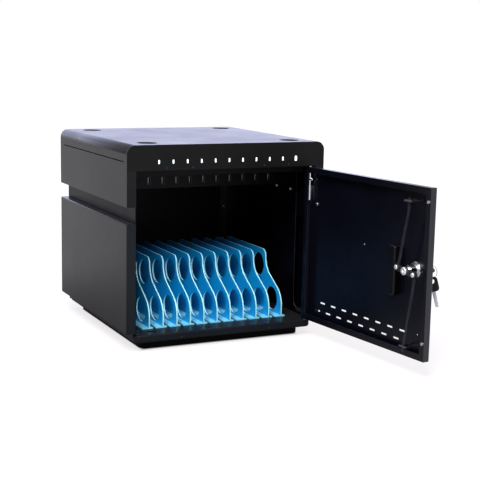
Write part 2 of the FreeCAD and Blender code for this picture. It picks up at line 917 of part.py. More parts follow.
def earth_stud():
    inner = V(inlet_x + earth_offset, rear - sheet, shelf_top + earth_rise)
    stud = bar(inner - V(0, earth_length, 0), inner, earth_radius)
    washer = bar(inner - V(0, earth_washer_height, 0), inner, earth_washer_radius)
    corner = inner - V(0, earth_washer_height + earth_nut_height, 0)
    corners = []
    for k in range(7):
        angle = k * math.pi / 3
        corners.append(corner + V(math.cos(angle), 0, math.sin(angle)) * earth_nut_radius)
    nut = Part.Face(Part.makePolygon(corners)).extrude(V(0, earth_nut_height, 0))
    return joined([stud, nut, washer])


def wire(points):
    # A tube along straight runs with tangent arcs at the corners
    path = []
    begin = points[0]
    for before, corner, after in zip(points, points[1:], points[2:]):
        back = (before - corner).normalize()
        ahead = (after - corner).normalize()
        half_turn = back.getAngle(ahead) / 2
        trim = wire_bend / math.tan(half_turn)
        middle = (back + ahead).normalize()
        depth = wire_bend / math.sin(half_turn) - wire_bend
        path.append(Part.LineSegment(begin, corner + back * trim).toShape())
        bend_end = corner + ahead * trim
        path.append(Part.Arc(corner + back * trim, corner + middle * depth, bend_end).toShape())
        begin = bend_end
    path.append(Part.LineSegment(begin, points[-1]).toShape())
    ring = Part.Wire(Part.Circle(points[0], points[1] - points[0], wire_radius).toShape())
    return Part.Wire(path).makePipeShell([ring], True, False)


def mains_wires():
    solids = []
    end = supply_left + terminal_inset + terminal_width - terminal_wall
    for index in range(3):
        x = inlet_x + (index - 1) * wire_spacing
        y = terminal_y(terminal_count - 1 - index)
        start = V(x, rear - inlet_body_depth, inlet_z)
        solids.append(wire([start, V(x, y, inlet_z), V(x, y, terminal_z), V(end, y, terminal_z)]))
    return solids


def output_wires():
    # Two runs from the supply to the charger board, and one from there to the lamps
    solids = []
    end = supply_left + terminal_inset + terminal_width - terminal_wall
    drop = board_rear - wire_bend
    for index in range(2):
        y = terminal_y(index)
        x = supply_left - wire_reach - index * wire_bend
        turn = y - wire_run
        solids.append(wire([V(end, y, terminal_z), V(x, y, terminal_z), V(x, turn, terminal_z),
                            V(x, turn, board_top + wire_rise), V(x, drop, board_top + wire_rise),
                            V(x, drop, board_top)]))
    start = V(divider_x(0), front + fascia_thickness + indicator_standoff + board_thickness, window_z)
    corner = start + V(0, lamp_wire_run, 0)
    solids.append(wire([start, corner, V(corner.x, corner.y, board_top)]))
    return solids


# Dividers
def divider_x(index):
    return (index - bay_count / 2) * bay_pitch


def divider(index):
    x = divider_x(index) - divider_thickness / 2
    y0 = front + divider_front
    y1 = front + divider_rear
    z0 = floor_top
    z1 = floor_top + divider_height
    r = ogee_radius
    c = divider_corner_radius
    cos_turn = math.cos(ogee_turn)
    sin_turn = math.sin(ogee_turn)
    half_cos = math.cos(ogee_turn / 2)
    half_sin = math.sin(ogee_turn / 2)
    link = (divider_setback - 2 * r * (1 - cos_turn)) / sin_turn
    bend = V(x, y0, z0 + divider_straight)
    low_centre = bend + V(0, r, 0)
    low_end = low_centre + V(0, -r * cos_turn, r * sin_turn)
    high_start = low_end + V(0, link * sin_turn, link * cos_turn)
    high_centre = high_start + V(0, -r * cos_turn, r * sin_turn)
    high_end = high_centre + V(0, r, 0)
    corner = c * (1 - math.sqrt(0.5))
    yt = high_end.y
    outline = Part.Wire([
        Part.LineSegment(V(x, y0, z0), bend).toShape(),
        Part.Arc(bend, low_centre + V(0, -r * half_cos, r * half_sin), low_end).toShape(),
        Part.LineSegment(low_end, high_start).toShape(),
        Part.Arc(high_start, high_centre + V(0, r * half_cos, -r * half_sin), high_end).toShape(),
        Part.LineSegment(high_end, V(x, yt, z1 - c)).toShape(),
        Part.Arc(V(x, yt, z1 - c), V(x, yt + corner, z1 - corner), V(x, yt + c, z1)).toShape(),
        Part.LineSegment(V(x, yt + c, z1), V(x, y1 - c, z1)).toShape(),
        Part.Arc(V(x, y1 - c, z1), V(x, y1 - corner, z1 - corner), V(x, y1, z1 - c)).toShape(),
        Part.LineSegment(V(x, y1, z1 - c), V(x, y1, z0)).toShape(),
        Part.LineSegment(V(x, y1, z0), V(x, y0, z0)).toShape(),
    ])
    plate = Part.Face(outline).extrude(V(divider_thickness, 0, 0))
    holes = []
    for setback, rise in ((low_hole_setback, low_hole_rise), (high_hole_setback, high_hole_rise)):
        centre = V(x - 1, y0 + setback, z0 + rise)
        side = centre + V(0, hole_half_width, 0)
        oval = Part.Ellipse(side, centre + V(0, 0, hole_half_height), centre)
        holes.append(Part.Face(Part.Wire(oval.toShape())).extrude(V(divider_thickness + 2, 0, 0)))
    plate = plate.cut(Part.Compound(holes))
    foot = box(x - foot_plate_left, x + divider_thickness + foot_plate_right, y0, y1,
               z0, z0 + foot_plate_thickness)
    shape = joined([plate, foot])
    return shape.cut(screw_bores(divider_screw_places()[2 * index:2 * index + 2]))


# Door pieces, drawn with the door shut
def door_panel():
    shell = box(door_left, door_right, front, lip_face, door_low, door_high)
    face = [edge for edge in shell.Edges if edge.BoundBox.YMax < front + 0.01]
    shell = shell.makeFillet(bend_radius, face)
    cavity = box(door_left + sheet, door_right - sheet, front + sheet, lip_face - sheet,
                 door_low + sheet, door_high - sheet)
    inset = sheet + door_lip
    mouth = box(door_left + inset, door_right - inset, front + sheet, lip_face + 1,
                door_low + inset, door_high - inset)
    shape = shell.cut(cavity).cut(mouth)
    cuts = []
    for row in range(2):
        for index in range(vent_count):
            x = door_right - vent_first_setback - (index + row * vent_row_shift) * vent_pitch
            z = door_low + vent_low_rise + row * vent_row_rise
            cuts.append(slot_along_x(x, z, vent_length, vent_height, front - 1, front + 2 * sheet))
    cuts.append(bar(V(lock_x, front - 1, lock_z), V(lock_x, front + 2 * sheet, lock_z),
                    lock_radius + bore_gap))
    cuts.append(cup_block(-bore_gap, front - 1, front + 2 * sheet))
    for z in (door_low, door_high):
        cuts.append(bar(V(pivot.x, pivot.y, z - 2 * sheet), V(pivot.x, pivot.y, z + 2 * sheet),
                        hinge_pin_radius + hinge_fit))
    for setback, rise in ((middle_hole_setback, middle_hole_rise),
                          (corner_hole_setback, corner_hole_rise)):
        place = V(door_right - setback, front - 1, door_low + rise)
        cuts.append(bar(place, place + V(0, 3 * sheet, 0), small_hole_radius))
    return swung(shape.cut(Part.Compound(cuts)))


def cup_block(inset, y0, y1):
    x = door_left + cup_setback + cup_width
    z = door_low + cup_rise
    return rounded_box(x - cup_width + inset, x - inset, y0, y1, z + inset, z + cup_height - inset,
                       cup_radius - inset, V(0, 1, 0))


def finger_cup():
    outer = cup_block(0, front, front + cup_depth)
    floor_edges = [edge for edge in outer.Edges if edge.BoundBox.YMin > front + cup_depth - 0.01]
    outer = outer.makeFillet(cup_radius * 0.6, floor_edges)
    bezel = cup_block(-cup_bezel, front - cup_bezel_height, front)
    inner = cup_block(cup_wall, front - 5, front + cup_depth - cup_wall)
    floor_edges = [edge for edge in inner.Edges if edge.BoundBox.YMin > front + cup_depth - cup_wall - 0.01]
    inner = inner.makeFillet(cup_radius * 0.4, floor_edges)
    return swung(joined([outer, bezel]).cut(inner))


def lock_housing():
    tube = bar(V(lock_x, front, lock_z), V(lock_x, front + lock_length, lock_z), lock_radius)
    rosette = bar(V(lock_x, front, lock_z), V(lock_x, front - rosette_height, lock_z), rosette_radius)
    crown = [edge for edge in rosette.Edges if edge.BoundBox.YMax < front - rosette_height + 0.01]
    rosette = rosette.makeFillet(rosette_height * 0.5, crown)
    bore = bar(V(lock_x, front - rosette_height - 1, lock_z), V(lock_x, front + lock_length + 1, lock_z),
               plug_radius + plug_fit)
    return swung(joined([tube, rosette]).cut(bore))


def lock_nut():
    y0 = front + sheet
    y1 = y0 + lock_nut_height
    nut = bar(V(lock_x, y0, lock_z), V(lock_x, y1, lock_z), lock_nut_radius)
    crown = [edge for edge in nut.Edges if edge.BoundBox.YMin > y1 - 0.01]
    nut = nut.makeFillet(lock_nut_round, crown)
    notches = []
    for k in range(notch_count):
        angle = k * 2 * math.pi / notch_count
        side = V(math.cos(angle), 0, math.sin(angle)) * (lock_nut_radius + notch_offset)
        place = V(lock_x, y0 - 1, lock_z) + side
        notches.append(bar(place, place + V(0, lock_nut_height + 2, 0), notch_radius))
    bore = bar(V(lock_x, y0 - 1, lock_z), V(lock_x, y1 + 1, lock_z), lock_radius + bore_gap)
    return swung(nut.cut(Part.Compound(notches)).cut(bore))


def lock_plug():
    y0 = front - rosette_height + plug_recess
    plug = bar(V(lock_x, y0, lock_z), V(lock_x, cam_front, lock_z), plug_radius)
    half = plug_radius * square_share
    square = box(lock_x - half, lock_x + half, cam_front, cam_front + cam_thickness,
                 lock_z - half, lock_z + half)
    keyway = box(lock_x - key_blade_width / 2, lock_x + key_blade_width / 2, y0 - 1, y0 + key_blade_length,
                 lock_z - key_blade_thickness / 2, lock_z + key_blade_thickness / 2)
    keyway.rotate(V(lock_x, 0, lock_z), V(0, 1, 0), -key_turn)
    return swung(joined([plug, square]).cut(keyway))


def cam_pin_places():
    return [V(lock_x + side * pin_dx, 0, lock_z + side * pin_dz) for side in (1, -1)]


def strip(start, end, width, y0, y1):
    # A flat bar with round ends between two points of the door's plane
    along = V(end.x - start.x, 0, end.z - start.z)
    side = V(along.z, 0, -along.x).normalize() * (width / 2)
    ends = [V(point.x, y0, point.z) for point in (start, end)]
    corners = [ends[0] + side, ends[1] + side, ends[1] - side, ends[0] - side, ends[0] + side]
    pieces = [Part.Face(Part.makePolygon(corners)).extrude(V(0, y1 - y0, 0))]
    for point in ends:
        pieces.append(Part.makeCylinder(width / 2, y1 - y0, point, V(0, 1, 0)))
    return joined(pieces)


def lock_cam():
    y1 = cam_front + cam_thickness
    pins = cam_pin_places()
    hub = bar(V(lock_x, cam_front, lock_z), V(lock_x, y1, lock_z), cam_width / 2)
    shape = joined([hub, strip(pins[0], pins[1], 2 * cam_end_radius, cam_front, y1)])
    half = plug_radius * square_share + bore_gap
    shape = shape.cut(box(lock_x - half, lock_x + half, cam_front - 1, y1 + 1,
                          lock_z - half, lock_z + half))
    for pin in pins:
        shape = shape.cut(bar(V(pin.x, cam_front - 1, pin.z), V(pin.x, y1 + 1, pin.z),
                              pin_radius + bore_gap))
    return swung(shape)


def cam_bolt():
    # The bolt that holds the cam on the square of the plug
    y0 = cam_front + cam_thickness
    y1 = y0 + cam_bolt_height
    head = bar(V(lock_x, y0, lock_z), V(lock_x, y1, lock_z), cam_bolt_radius)
    crown = [edge for edge in head.Edges if edge.BoundBox.YMin > y1 - 0.01]
    head = head.makeFillet(cam_bolt_round, crown)
    return head.cut(bar(V(lock_x, y1 - cam_bolt_socket_depth, lock_z), V(lock_x, y1 + 1, lock_z),
                        cam_bolt_socket))


def cam_fasteners():
    # The cam's bolt and the two headed pins that carry the rods
    y0 = rod_front - rod_gap / 2
    y1 = cam_front + cam_thickness
    y2 = y1 + pin_head_height
    solids = [cam_bolt()]
    for pin in cam_pin_places():
        shank = bar(V(pin.x, y0, pin.z), V(pin.x, y1, pin.z), pin_radius)
        head = bar(V(pin.x, y1, pin.z), V(pin.x, y2, pin.z), pin_head_radius)
        crown = [edge for edge in head.Edges if edge.BoundBox.YMin > y2 - 0.01]
        head = head.makeFillet(pin_head_height * 0.6, crown)
        keeper = bar(V(pin.x, y0 - pin_keeper, pin.z), V(pin.x, y0, pin.z), pin_head_radius)
        solids.append(joined([shank, head, keeper]))
    return swung(Part.Compound(solids))


def lock_rod(eye, bend, tip):
    # A flat bar from its eye on the cam pin, over a slight bend, to its tip in line with the lock
    shape = joined([
        bar(V(eye.x, rod_front, eye.z), V(eye.x, rod_back, eye.z), rod_eye_radius),
        strip(eye, bend, rod_width, rod_front, rod_back),
        strip(bend, tip, rod_width, rod_front, rod_back),
    ])
    bore = bar(V(eye.x, rod_front - 1, eye.z), V(eye.x, rod_back + 1, eye.z), pin_radius + pin_fit)
    return swung(shape.cut(bore))


def upper_rod():
    tip = V(lock_x, 0, lock_z + upper_rod_reach - rod_width / 2)
    return lock_rod(cam_pin_places()[0], tip - V(0, 0, upper_rod_end), tip)


def lower_rod():
    eye = cam_pin_places()[1]
    tip = V(lock_x, 0, lock_z - lower_rod_reach + rod_width / 2)
    return lock_rod(eye, V(eye.x + lower_bend_shift, 0, lock_z - lower_bend_drop), tip)


def guide_places():
    upper = V(lock_x + upper_guide_shift, front + sheet, lock_z + upper_guide_rise)
    lower = V(lock_x + lower_guide_shift, front + sheet, lock_z - lower_guide_drop)
    return [upper, lower]


def rod_guides():
    # Staples of square wire over the rods, welded to the inside of the door skin
    inner = guide_clear_width / 2
    outer = inner + guide_wire
    crown = rod_back + guide_clearance
    solids = []
    for place in guide_places():
        low = place.z - guide_wire / 2
        high = place.z + guide_wire / 2
        pieces = [box(place.x - outer, place.x + outer, crown, crown + guide_wire, low, high)]
        for side in (-1, 1):
            leg = sorted((place.x + side * inner, place.x + side * outer))
            pieces.append(box(*leg, place.y, crown, low, high))
        solids.append(joined(pieces))
    return swung(Part.Compound(solids))


def bracket_screw():
    z = barrel_low - bracket_drop + bracket_foot_height / 2
    place = V(pivot.x - bracket_screw_reach, front + sheet + bracket_sheet, z)
    head = Part.makeCylinder(screw_head_radius, screw_head_height, place, V(0, 1, 0))
    crown = [edge for edge in head.Edges if edge.BoundBox.YMin > place.y + 0.9 * screw_head_height]
    return swung(head.makeFillet(screw_head_height * 0.45, crown))


def door_bumpers():
    # Rubber buttons on the inner lip of the free edge, which meet the door stop
    x = door_left + stop_side / 2
    solids = []
    for z in (door_low + bumper_low_rise, door_high - bumper_high_drop):
        solids.append(bar(V(x, lip_face, z), V(x, stop_face - bumper_gap, z), bumper_radius))
    return swung(Part.Compound(solids))


# Hinge pieces
def hinge_barrel():
    # The tube of the spring bolt, on a bracket that is screwed to the door skin
    z0 = barrel_low
    z1 = z0 + barrel_length
    skin = front + sheet
    low = z0 - bracket_drop
    tube = bar(V(pivot.x, pivot.y, z0), V(pivot.x, pivot.y, z1), barrel_radius)
    web = box(pivot.x - barrel_radius, pivot.x, skin, pivot.y, z0, z1)
    ear = box(pivot.x - bracket_reach, pivot.x, skin, skin + bracket_sheet, low, z1)
    foot = box(pivot.x - bracket_foot_reach, pivot.x, skin, skin + bracket_sheet,
               low, low + bracket_foot_height)
    shape = joined([tube, web, ear, foot])
    bore = bar(V(pivot.x, pivot.y, z0 + barrel_floor), V(pivot.x, pivot.y, z1 + 1),
               hinge_pin_radius + hinge_fit)
    return swung(shape.cut(bore))


def hinge_bolt():
    foot = V(pivot.x, pivot.y, barrel_low + bolt_seat)
    tip = V(pivot.x, pivot.y, door_high + bolt_reach)
    pin = bar(foot, tip, hinge_pin_radius)
    crown = [edge for edge in pin.Edges if edge.BoundBox.ZMin > tip.z - 0.01]
    pin = pin.makeChamfer(bolt_chamfer, crown)
    z = barrel_low + knob_rise
    knob = bar(V(pivot.x, pivot.y, z), V(pivot.x - knob_length, pivot.y, z), knob_radius)
    crown = [edge for edge in knob.Edges if edge.BoundBox.XMax < pivot.x - knob_length + 0.01]
    knob = knob.makeFillet(knob_round, crown)
    return swung(joined([pin, knob]))


def hinge_spring():
    # A coil in the bore of the barrel, from its floor to the foot of the bolt
    radius = hinge_pin_radius - spring_wire - spring_gap
    low = barrel_low + barrel_floor + spring_wire + spring_gap
    rise = bolt_seat - barrel_floor - 2 * (spring_wire + spring_gap)
    helix = Part.makeLongHelix(rise / spring_turns, rise, radius)
    start = helix.Edges[0].valueAt(helix.Edges[0].FirstParameter)
    heading = helix.Edges[0].tangentAt(helix.Edges[0].FirstParameter)
    ring = Part.Wire(Part.Circle(start, heading, spring_wire).toShape())
    coil = Part.Wire(helix.Edges).makePipeShell([ring], True, False)
    coil.translate(V(pivot.x, pivot.y, low))
    return swung(coil)


def lower_hinge_pin():
    foot = V(pivot.x, pivot.y, door_low + sheet - lower_pin_reach)
    neck = V(pivot.x, pivot.y, door_low + sheet)
    pin = bar(foot, neck + V(0, 0, 1), hinge_pin_radius)
    head = bar(neck, neck + V(0, 0, 2.0), hinge_pin_radius + 1.0)
    return swung(joined([pin, head]))


def hinge_bush():
    low = V(pivot.x, pivot.y, tray_low + 4)
    flange = bar(V(pivot.x, pivot.y, floor_top), V(pivot.x, pivot.y, door_low - 0.2), bush_radius)
    sleeve = bar(low, V(pivot.x, pivot.y, floor_top), bush_sleeve - 0.05)
    bore = bar(low - V(0, 0, 1), V(pivot.x, pivot.y, door_low + 1), hinge_pin_radius + hinge_fit)
    return joined([flange, sleeve]).cut(bore)


# Keys, drawn with the bow around the origin of its hole, the blade pointing down and the flat side forward
def key_blade_shape(gap):
    high = bow_hole_margin - bow_length + key_blade_tuck + gap
    low = bow_hole_margin - bow_length - key_neck - key_blade_length
    half_x = key_blade_width / 2 - key_blade_gap + gap
    half_y = key_blade_thickness / 2 - key_blade_gap + gap
    blade = box(-half_x, half_x, -half_y, half_y, low, high)
    tip = [edge for edge in edges_along(blade, V(0, 1, 0)) if edge.BoundBox.ZMax < low + 0.01]
    return blade.makeChamfer(key_blade_width * 0.3, tip)


def key_bow_shape():
    half = bow_thickness / 2
    plate = rounded_box(-bow_width / 2, bow_width / 2, -half, half, bow_hole_margin - bow_length,
                        bow_hole_margin, bow_radius, V(0, 1, 0))
    rims = [edge for edge in plate.Edges if edge.BoundBox.YLength < 0.01]
    plate = plate.makeFillet(bow_round, rims)
    plate = plate.cut(bar(V(0, -bow_thickness, 0), V(0, bow_thickness, 0), bow_hole_radius))
    return plate.cut(key_blade_shape(bore_gap))


def cut_key_blade():
    # The blade with its row of cuts along one edge
    blade = key_blade_shape(0)
    cuts = []
    for k in range(key_cut_count):
        z = bow_hole_margin - bow_length - key_neck - (k + 1) * key_cut_pitch
        edge = V(-key_blade_width / 2, 0, z)
        cuts.append(bar(edge - V(0, key_blade_thickness, 0), edge + V(0, key_blade_thickness, 0),
                        0.7 + 0.25 * (k % 3)))
    return blade.cut(Part.Compound(cuts))


def in_lock(shape):
    # Laid down with the blade in the keyway, and turned with it
    shape.rotate(V(0, 0, 0), V(1, 0, 0), 90)
    shape.rotate(V(0, 0, 0), V(0, 1, 0), -key_turn)
    shape.translate(V(lock_x, key_hole_y, lock_z))
    return swung(shape)


def on_ring(shape):
    # Hung on the lowest point of the ring, tilted in its own plane and turned about the upright
    shape.rotate(V(0, 0, 0), V(0, 1, 0), spare_key_tilt)
    shape.rotate(V(0, 0, 0), V(0, 0, 1), spare_key_turn)
    shape.translate(spare_key_hole)
    return swung(shape)


def key_ring():
    return swung(Part.makeTorus(ring_radius, ring_wire, ring_centre, V(1, 0, 0)))


# The node list
def cabinet_screws():
    places = shelf_screw_places() + back_screw_places() + divider_screw_places()
    return Part.Compound([screw(point, facing, screw_head_radius, screw_head_height)
                          for point, facing in places])


def front_screws():
    places = fascia_screw_places() + sill_screw_places()
    return Part.Compound([screw(point, facing, small_head_radius, small_head_height)
                          for point, facing in places])


def build_nodes():
    nodes = {
        "hood": hood(),
        "fascia": fascia(),
        "indicator_windows": Part.Compound(window_slots(window_gap, fascia_thickness + 1)),
        "indicator_board": indicator_board(),
        "side_skin_left": side_skin(),
        "side_skin_right": mirrored(side_skin()),
        "grip_channel_left": grip_channel(),
        "grip_channel_right": mirrored(grip_channel()),
        "liner_left": liner(),
        "liner_right": mirrored(liner()),
        "back_panel": back_panel(),
        "floor_tray": floor_tray(),
        "plinth": plinth(),
        "rubber_feet": rubber_feet(),
        "electronics_shelf": electronics_shelf(),
        "door_stop": door_stop(),
        "usb_shells": usb_shells(),
        "usb_tongues": usb_tongues(),
        "charger_board": charger_board(),
        "power_supply": power_supply(),
        "mains_inlet": mains_inlet(),
        "inlet_pins": inlet_pins(),
        "switch_rocker": switch_rocker(),
        "earth_stud": earth_stud(),
        "wiring": Part.Compound(mains_wires() + output_wires()),
        "cabinet_screws": cabinet_screws(),
        "front_screws": front_screws(),
        "hinge_bush": hinge_bush(),
        "door_panel": door_panel(),
        "finger_cup": finger_cup(),
        "lock_housing": lock_housing(),
        "lock_nut": lock_nut(),
        "rod_guides": rod_guides(),
        "bracket_screw": bracket_screw(),
        "door_bumpers": door_bumpers(),
        "hinge_barrel": hinge_barrel(),
        "hinge_spring": hinge_spring(),
        "hinge_bolt": hinge_bolt(),
        "lower_hinge_pin": lower_hinge_pin(),
        "lock_plug": lock_plug(),
        "lock_cam": lock_cam(),
        "cam_fasteners": cam_fasteners(),
        "upper_rod": upper_rod(),
        "lower_rod": lower_rod(),
        "key_bow": in_lock(key_bow_shape()),
        "key_blade": in_lock(cut_key_blade()),
        "key_ring": key_ring(),
        "spare_key_bow": on_ring(key_bow_shape()),
        "spare_key_blade": on_ring(cut_key_blade()),
    }
    for index in range(bay_count + 1):
        nodes["divider_%02d" % (index + 1)] = divider(index)
    return nodes


os.makedirs("parts", exist_ok=True)
for name, shape in build_nodes().items():
    shape.exportStep("parts/%s.step" % name)
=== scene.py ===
import math

import bpy
from mathutils import Matrix, Vector


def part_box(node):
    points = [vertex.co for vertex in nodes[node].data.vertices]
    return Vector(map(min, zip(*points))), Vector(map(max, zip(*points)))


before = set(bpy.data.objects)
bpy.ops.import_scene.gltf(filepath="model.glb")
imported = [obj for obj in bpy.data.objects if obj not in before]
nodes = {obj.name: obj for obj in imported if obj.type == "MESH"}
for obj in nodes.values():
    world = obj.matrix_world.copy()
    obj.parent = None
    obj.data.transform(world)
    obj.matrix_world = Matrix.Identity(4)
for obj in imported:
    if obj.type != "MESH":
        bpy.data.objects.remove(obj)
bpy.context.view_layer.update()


# Small helpers for shader trees
def place(tree, kind, **values):
    node = tree.nodes.new(kind)
    for name, value in values.items():
        setattr(node, name, value)
    return node


def feed(tree, source, target):
    tree.links.new(source, target)


def start_group(name, inputs, outputs):
    group = bpy.data.node_groups.new(name, "ShaderNodeTree")
    for label, kind, value in inputs:
        socket = group.interface.new_socket(label, in_out="INPUT", socket_type=kind)
        socket.default_value = value
    for label, kind in outputs:
        group.interface.new_socket(label, in_out="OUTPUT", socket_type=kind)
    return group, group.nodes.new("NodeGroupInput"), group.nodes.new("NodeGroupOutput")


def noise(tree, coordinates, scale, detail=2.0, rough=0.5):
    node = place(tree, "ShaderNodeTexNoise")
    node.inputs["Scale"].default_value = scale
    node.inputs["Detail"].default_value = detail
    node.inputs["Roughness"].default_value = rough
    feed(tree, coordinates, node.inputs["Vector"])
    return node.outputs["Fac"]


def math_node(tree, operation, first, second, clamp=False):
    node = place(tree, "ShaderNodeMath", operation=operation, use_clamp=clamp)
    for socket, value in zip(node.inputs, (first, second)):
        if isinstance(value, (int, float)):
            socket.default_value = value
        else:
            feed(tree, value, socket)
    return node.outputs["Value"]


def spread(tree, value, low, high, to_low, to_high):
    node = place(tree, "ShaderNodeMapRange")
    for label, number in (("From Min", low), ("From Max", high), ("To Min", to_low), ("To Max", to_high)):
        node.inputs[label].default_value = number
    feed(tree, value, node.inputs["Value"])
    return node.outputs["Result"]


def blend_colours(tree, mask, first, second):
    node = place(tree, "ShaderNodeMix", data_type="RGBA")
    sockets = [s for s in node.inputs if s.type == "RGBA"]
    for socket, value in zip(sockets, (first, second)):
        if isinstance(value, (tuple, list)):
            socket.default_value = (*value, 1.0)
        else:
            feed(tree, value, socket)
    feed(tree, mask, node.inputs["Factor"])
    return [s for s in node.outputs if s.type == "RGBA"][0]


# Shared surface effects
def make_coat_grain():
    """The pebbled skin of sprayed powder paint: a height for the bump and a slow shade change."""
    group, take, give = start_group(
        "coat_grain",
        [("Pebble size", "NodeSocketFloat", 900.0)],
        [("Height", "NodeSocketFloat"), ("Shade", "NodeSocketFloat")])
    where = place(group, "ShaderNodeTexCoord").outputs["Object"]
    pebbles = place(group, "ShaderNodeTexVoronoi", feature="SMOOTH_F1")
    pebbles.inputs["Smoothness"].default_value = 0.7
    feed(group, where, pebbles.inputs["Vector"])
    feed(group, take.outputs["Pebble size"], pebbles.inputs["Scale"])
    ripple = noise(group, where, 160.0, 3.0)
    height = math_node(group, "ADD", pebbles.outputs["Distance"], math_node(group, "MULTIPLY", ripple, 0.8))
    feed(group, height, give.inputs["Height"])
    cloud = noise(group, where, 9.0, 4.0, 0.6)
    fleck = noise(group, where, 1400.0, 1.0)
    slow = math_node(group, "MULTIPLY", cloud, 0.65)
    fine = math_node(group, "MULTIPLY", fleck, 0.35)
    shade = math_node(group, "ADD", slow, fine)
    feed(group, shade, give.inputs["Shade"])
    return group


def make_edge_wear():
    """A mask that is high along outer edges, broken up where the paint has held."""
    group, take, give = start_group(
        "edge_wear",
        [("Width", "NodeSocketFloat", 0.0012), ("Amount", "NodeSocketFloat", 1.0)],
        [("Mask", "NodeSocketFloat")])
    rounded = place(group, "ShaderNodeBevel", samples=4)
    feed(group, take.outputs["Width"], rounded.inputs["Radius"])
    surface = place(group, "ShaderNodeNewGeometry")
    agree = place(group, "ShaderNodeVectorMath", operation="DOT_PRODUCT")
    feed(group, rounded.outputs["Normal"], agree.inputs[0])
    feed(group, surface.outputs["Normal"], agree.inputs[1])
    edge = spread(group, agree.outputs["Value"], 0.995, 0.80, 0.0, 1.0)
    where = place(group, "ShaderNodeTexCoord").outputs["Object"]
    patches = spread(group, noise(group, where, 70.0, 5.0, 0.65), 0.42, 0.62, 0.25, 1.0)
    worn = math_node(group, "MULTIPLY", edge, patches)
    mask = math_node(group, "MULTIPLY", worn, take.outputs["Amount"], True)
    feed(group, mask, give.inputs["Mask"])
    return group


def make_dust():
    """Fine settled dust on upward faces."""
    group, take, give = start_group(
        "settled_dust",
        [("Amount", "NodeSocketFloat", 0.5)],
        [("Mask", "NodeSocketFloat")])
    surface = place(group, "ShaderNodeNewGeometry")
    split = place(group, "ShaderNodeSeparateXYZ")
    feed(group, surface.outputs["Normal"], split.inputs["Vector"])
    upward = spread(group, split.outputs["Z"], 0.3, 1.0, 0.0, 1.0)
    where = place(group, "ShaderNodeTexCoord").outputs["Object"]
    cloud = spread(group, noise(group, where, 26.0, 6.0, 0.7), 0.35, 0.75, 0.0, 1.0)
    settled = math_node(group, "MULTIPLY", upward, cloud)
    mask = math_node(group, "MULTIPLY", settled, take.outputs["Amount"], True)
    feed(group, mask, give.inputs["Mask"])
    return group


def make_brushing():
    """Fine lines left by drawing or polishing metal, along one axis."""
    group, take, give = start_group(
        "brushing",
        [("Along", "NodeSocketVector", (40.0, 900.0, 900.0))],
        [("Lines", "NodeSocketFloat")])
    where = place(group, "ShaderNodeTexCoord").outputs["Object"]
    stretch = place(group, "ShaderNodeVectorMath", operation="MULTIPLY")
    feed(group, where, stretch.inputs[0])
    feed(group, take.outputs["Along"], stretch.inputs[1])
    feed(group, noise(group, stretch.outputs["Vector"], 1.0, 4.0, 0.6), give.inputs["Lines"])
    return group


coat_grain = make_coat_grain()
edge_wear = make_edge_wear()
settled_dust = make_dust()
brushing = make_brushing()


def start_material(name):
    material = bpy.data.materials.new(name)
    material.use_nodes = True
    tree = material.node_tree
    tree.nodes.clear()
    shader = place(tree, "ShaderNodeBsdfPrincipled")
    output = place(tree, "ShaderNodeOutputMaterial")
    feed(tree, shader.outputs["BSDF"], output.inputs["Surface"])
    return material, tree, shader


def use(tree, group, **values):
    node = place(tree, "ShaderNodeGroup", node_tree=group)
    for label, value in values.items():
        node.inputs[label.replace("_", " ")].default_value = value
    return node


def bump(tree, shader, height, depth):
    node = place(tree, "ShaderNodeBump")
    node.inputs["Strength"].default_value = 1.0
    node.inputs["Distance"].default_value = depth
    feed(tree, height, node.inputs["Height"])
    feed(tree, node.outputs["Normal"], shader.inputs["Normal"])


def vary_gloss(tree, shader, pattern, low, high):
    """Roughness that runs from low to high with the pattern."""
    feed(tree, spread(tree, pattern, 0.3, 0.7, low, high), shader.inputs["Roughness"])


def powder_coat(name, colour, pale, worn, gloss, pebble=900.0, depth=0.00004, wear=0.5, dust=0.3, shine=0.5):
    """Sprayed and baked paint on sheet steel."""
    material, tree, shader = start_material(name)
    grain = use(tree, coat_grain, Pebble_size=pebble)
    edges = use(tree, edge_wear, Amount=wear)
    film = use(tree, settled_dust, Amount=dust)
    shade = spread(tree, grain.outputs["Shade"], 0.3, 0.7, 0.0, 1.0)
    base = blend_colours(tree, shade, colour, pale)
    base = blend_colours(tree, film.outputs["Mask"], base, tuple(0.6 * c + 0.02 for c in pale))
    base = blend_colours(tree, edges.outputs["Mask"], base, worn)
    feed(tree, base, shader.inputs["Base Color"])
    vary_gloss(tree, shader, grain.outputs["Shade"], gloss - 0.05, gloss + 0.07)
    bump(tree, shader, grain.outputs["Height"], depth)
    shader.inputs["Specular IOR Level"].default_value = shine
    return material


def plated_metal(name, colour, shadow, gloss, along=(40.0, 900.0, 900.0), depth=0.00001):
    """Bare or plated metal with fine working lines."""
    material, tree, shader = start_material(name)
    lines = use(tree, brushing, Along=along)
    edges = use(tree, edge_wear, Width=0.0006, Amount=0.6)
    base = blend_colours(tree, lines.outputs["Lines"], shadow, colour)
    base = blend_colours(tree, edges.outputs["Mask"], base, tuple(min(1.0, 1.15 * c) for c in colour))
    feed(tree, base, shader.inputs["Base Color"])
    vary_gloss(tree, shader, lines.outputs["Lines"], gloss - 0.04, gloss + 0.08)
    bump(tree, shader, lines.outputs["Lines"], depth)
    shader.inputs["Metallic"].default_value = 1.0
    return material


